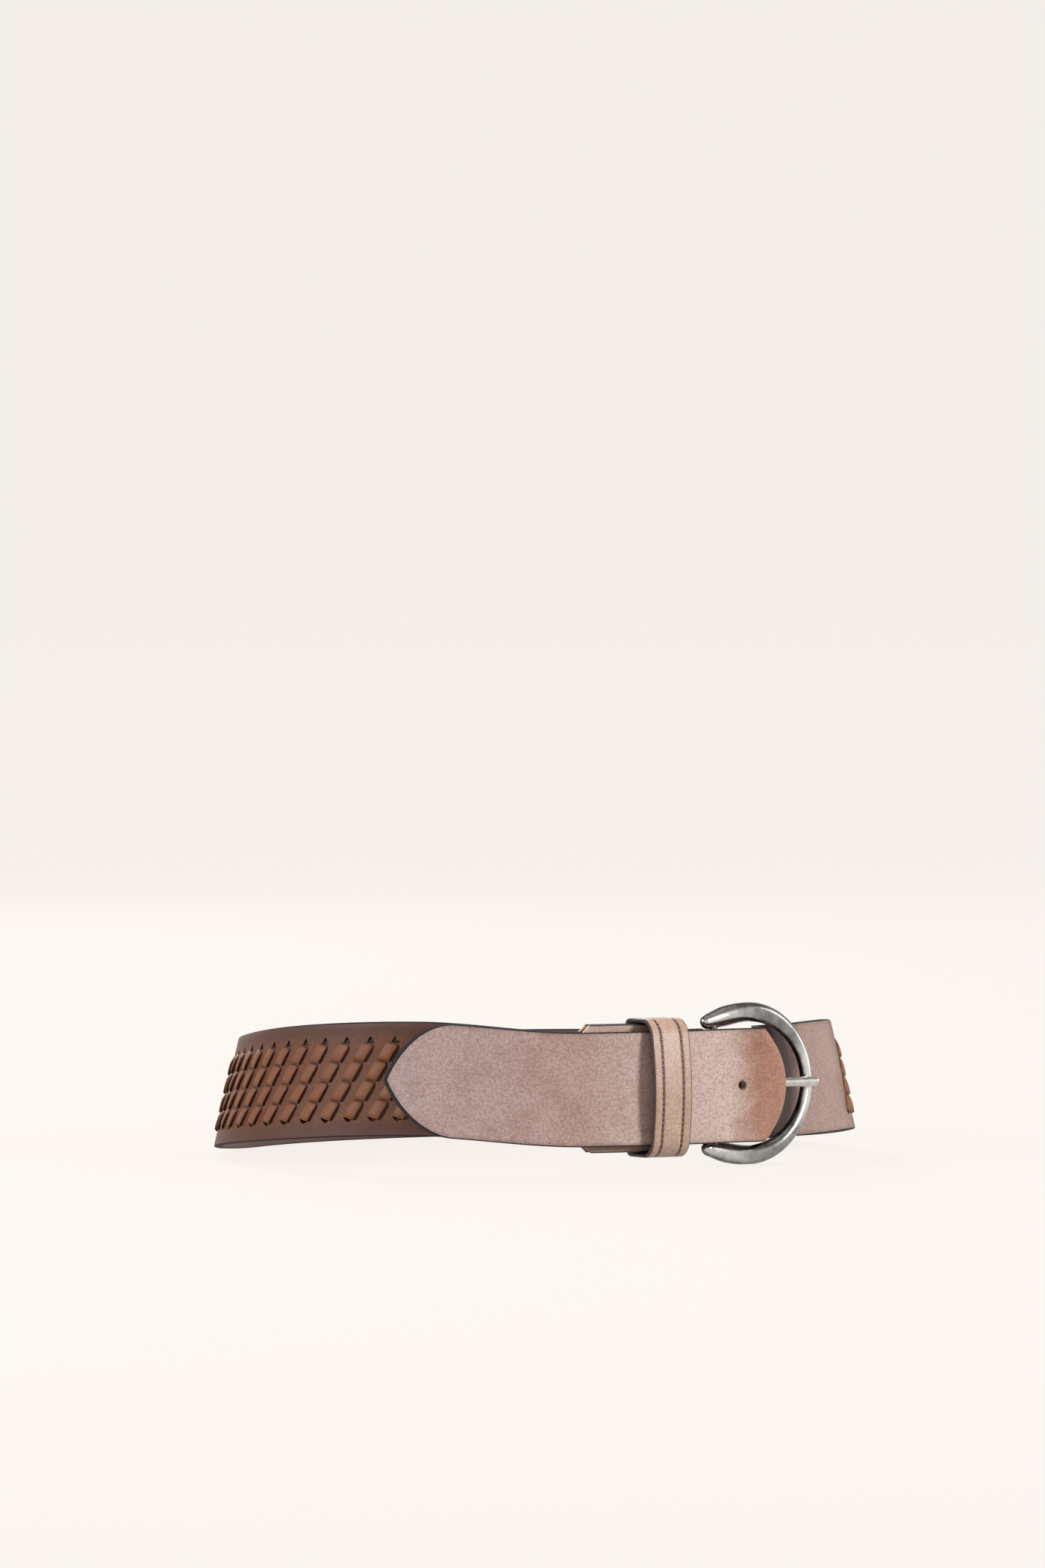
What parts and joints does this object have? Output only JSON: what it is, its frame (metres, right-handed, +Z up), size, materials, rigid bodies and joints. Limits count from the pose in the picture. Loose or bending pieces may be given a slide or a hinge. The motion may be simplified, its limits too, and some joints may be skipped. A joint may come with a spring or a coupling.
{
  "type": "leather belt",
  "caption": "Wide leather belt closed round a waist: diagonally laced strap, pointed tip, folded buckle tab, leather keeper and a horseshoe buckle with a prong.",
  "frame": {"origin": "middle of the bounding box's underside, on the floor that the closed belt stands on", "axes": "+Z up the belt's width, +X to the right in the picture, -Y towards the camera"},
  "size_m": [0.2574, 0.2646, 0.0638],
  "materials": {
    "waxed_brown_leather": "waxed brown grain, black painted edges",
    "russet_lace_leather": "waxed russet lace",
    "tan_leather": "waxed tan grain, black painted edges",
    "dark_thread": "waxed thread",
    "antique_nickel": "antique brushed nickel",
    "bright_steel": "worn bright nickel"
  },
  "bodies": {
    "belt": {"strap": "waxed_brown_leather", "lace_1": "russet_lace_leather", "lace_2": "russet_lace_leather", "lace_3": "russet_lace_leather", "lace_4": "russet_lace_leather", "buckle_tab": "tan_leather", "rivet_post_1": "antique_nickel", "rivet_cap_1": "antique_nickel", "rivet_post_2": "antique_nickel", "rivet_cap_2": "antique_nickel", "rivet_post_3": "antique_nickel", "rivet_cap_3": "antique_nickel", "rivet_post_4": "antique_nickel", "rivet_cap_4": "antique_nickel"},
    "frame": {"buckle_frame": "antique_nickel", "buckle_bar": "antique_nickel"},
    "prong": {"prong": "bright_steel"},
    "keeper": {"keeper": "tan_leather", "keeper_staple": "bright_steel", "keeper_stitching_1": "dark_thread", "keeper_stitching_2": "dark_thread"}
  },
  "joints": [
    {"name": "frame_swing", "type": "hinge", "parent": "belt", "child": "frame", "pos_m": [0.07026, -0.08826, 0.032], "axis": [0.0114, -0.0132, -0.9998], "range_deg": [-1.5, 1.5]},
    {"name": "prong_pivot", "type": "hinge", "parent": "frame", "child": "prong", "pos_m": [0.07026, -0.08826, 0.032], "axis": [0.0114, -0.0132, -0.9998], "range_deg": [0, 3]},
    {"name": "keeper_slide", "type": "slide", "parent": "belt", "child": "keeper", "axis": [-0.868, -0.4966, 0], "range_m": [-0.0035, 0.0055]}
  ]
}
